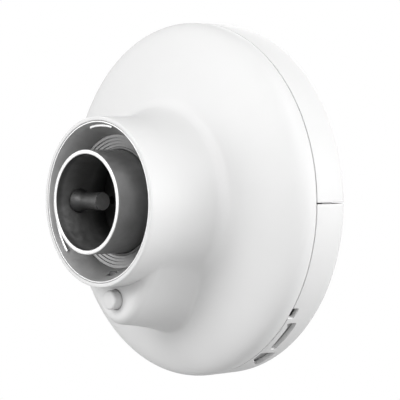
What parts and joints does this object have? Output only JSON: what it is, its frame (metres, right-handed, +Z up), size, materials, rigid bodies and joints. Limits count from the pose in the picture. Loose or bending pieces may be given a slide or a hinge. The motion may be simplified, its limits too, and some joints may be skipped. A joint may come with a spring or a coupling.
{
  "type": "radio head with waveguide port",
  "caption": "Pole-mount radio head: white disc housing with a twist-lock collar round a circular waveguide port, press-to-release latch and sliding port cover.",
  "frame": {"origin": "centre of the flat mounting face at the back of the mount block", "axes": "+Z up, +Y out of the mounting face towards the pole; the waveguide port points along -Y, +X to the right seen from the front"},
  "size_m": [0.228, 0.1204, 0.228],
  "materials": {
    "white_shell": "satin moulded",
    "button_white": "fine texture",
    "plated_casting": "satin plated",
    "cast_aluminium": "as cast",
    "screw_steel": "zinc plated",
    "brass": "satin",
    "seal_rubber": "matte",
    "insulator": "waxy",
    "circuit_board": "solder mask",
    "black_plastic": "moulded",
    "thermal_pad": "soft",
    "light_pipe": "translucent"
  },
  "bodies": {
    "housing": {"backshort_plate": "plated_casting", "bayonet_ring": "plated_casting", "board_header": "black_plastic", "board_screw_1": "screw_steel", "board_screw_2": "screw_steel", "board_screw_3": "screw_steel", "board_screw_4": "screw_steel", "button_spring": "screw_steel", "choke_ring": "plated_casting", "cover_screw_1": "screw_steel", "cover_screw_2": "screw_steel", "ethernet_jack": "screw_steel", "feed_strip": "brass", "front_feed_cable": "black_plastic", "front_probe": "plated_casting", "front_probe_bush": "insulator", "front_shell": "white_shell", "ground_screw": "brass", "ground_washer": "brass", "latch_spring": "screw_steel", "main_board": "circuit_board", "mount_block": "cast_aluminium", "mount_bolt_1": "screw_steel", "mount_bolt_2": "screw_steel", "mount_bolt_3": "screw_steel", "mount_bolt_4": "screw_steel", "perimeter_gasket": "seal_rubber", "port_board": "circuit_board", "port_board_screw_1": "screw_steel", "port_board_screw_2": "screw_steel", "port_seal": "seal_rubber", "pressure_vent": "black_plastic", "processor_shield": "screw_steel", "radio_chip": "black_plastic", "radio_shield": "screw_steel", "rear_chassis": "cast_aluminium", "rear_feed_cable": "black_plastic", "rear_probe": "plated_casting", "rear_probe_bush": "insulator", "reset_switch": "black_plastic", "shell_screw_1": "screw_steel", "shell_screw_2": "screw_steel", "shell_screw_3": "screw_steel", "shell_screw_4": "screw_steel", "shell_screw_5": "screw_steel", "shell_screw_6": "screw_steel", "status_light": "light_pipe", "stem_guide": "black_plastic", "thermal_pad": "thermal_pad", "upper_rear_cover": "white_shell", "waveguide_tube": "plated_casting"},
    "button": {"release_button": "button_white", "cross_pin": "screw_steel"},
    "latch": {"latch_slider": "white_shell"},
    "port_cover": {"port_cover": "white_shell", "status_lens": "light_pipe"},
    "catch": {"cover_catch": "button_white"},
    "reset": {"reset_button": "button_white"}
  },
  "joints": [
    {"name": "button_press", "type": "slide", "parent": "housing", "child": "button", "axis": [0, 1, 0], "range_m": [0, 0.003], "stiffness_N_per_m": 250, "springref_m": -0.004, "deforming": ["button_spring"]},
    {"name": "latch_retract", "type": "slide", "parent": "housing", "child": "latch", "axis": [0, 0, -1], "range_m": [0, 0.002], "deforming": ["latch_spring"]},
    {"name": "port_cover_slide", "type": "slide", "parent": "housing", "child": "port_cover", "axis": [0, 0, -1], "range_m": [0, 0.035]},
    {"name": "cover_catch_press", "type": "slide", "parent": "port_cover", "child": "catch", "axis": [0, -1, 0], "range_m": [0, 0.0015], "stiffness_N_per_m": 600, "springref_m": -0.001},
    {"name": "reset_press", "type": "slide", "parent": "housing", "child": "reset", "axis": [0, -1, 0], "range_m": [0, 0.0008], "stiffness_N_per_m": 500, "springref_m": -0.001}
  ],
  "couplings": [
    {"joint": "latch_retract", "follows": "button_press", "ratio": 0.66}
  ]
}
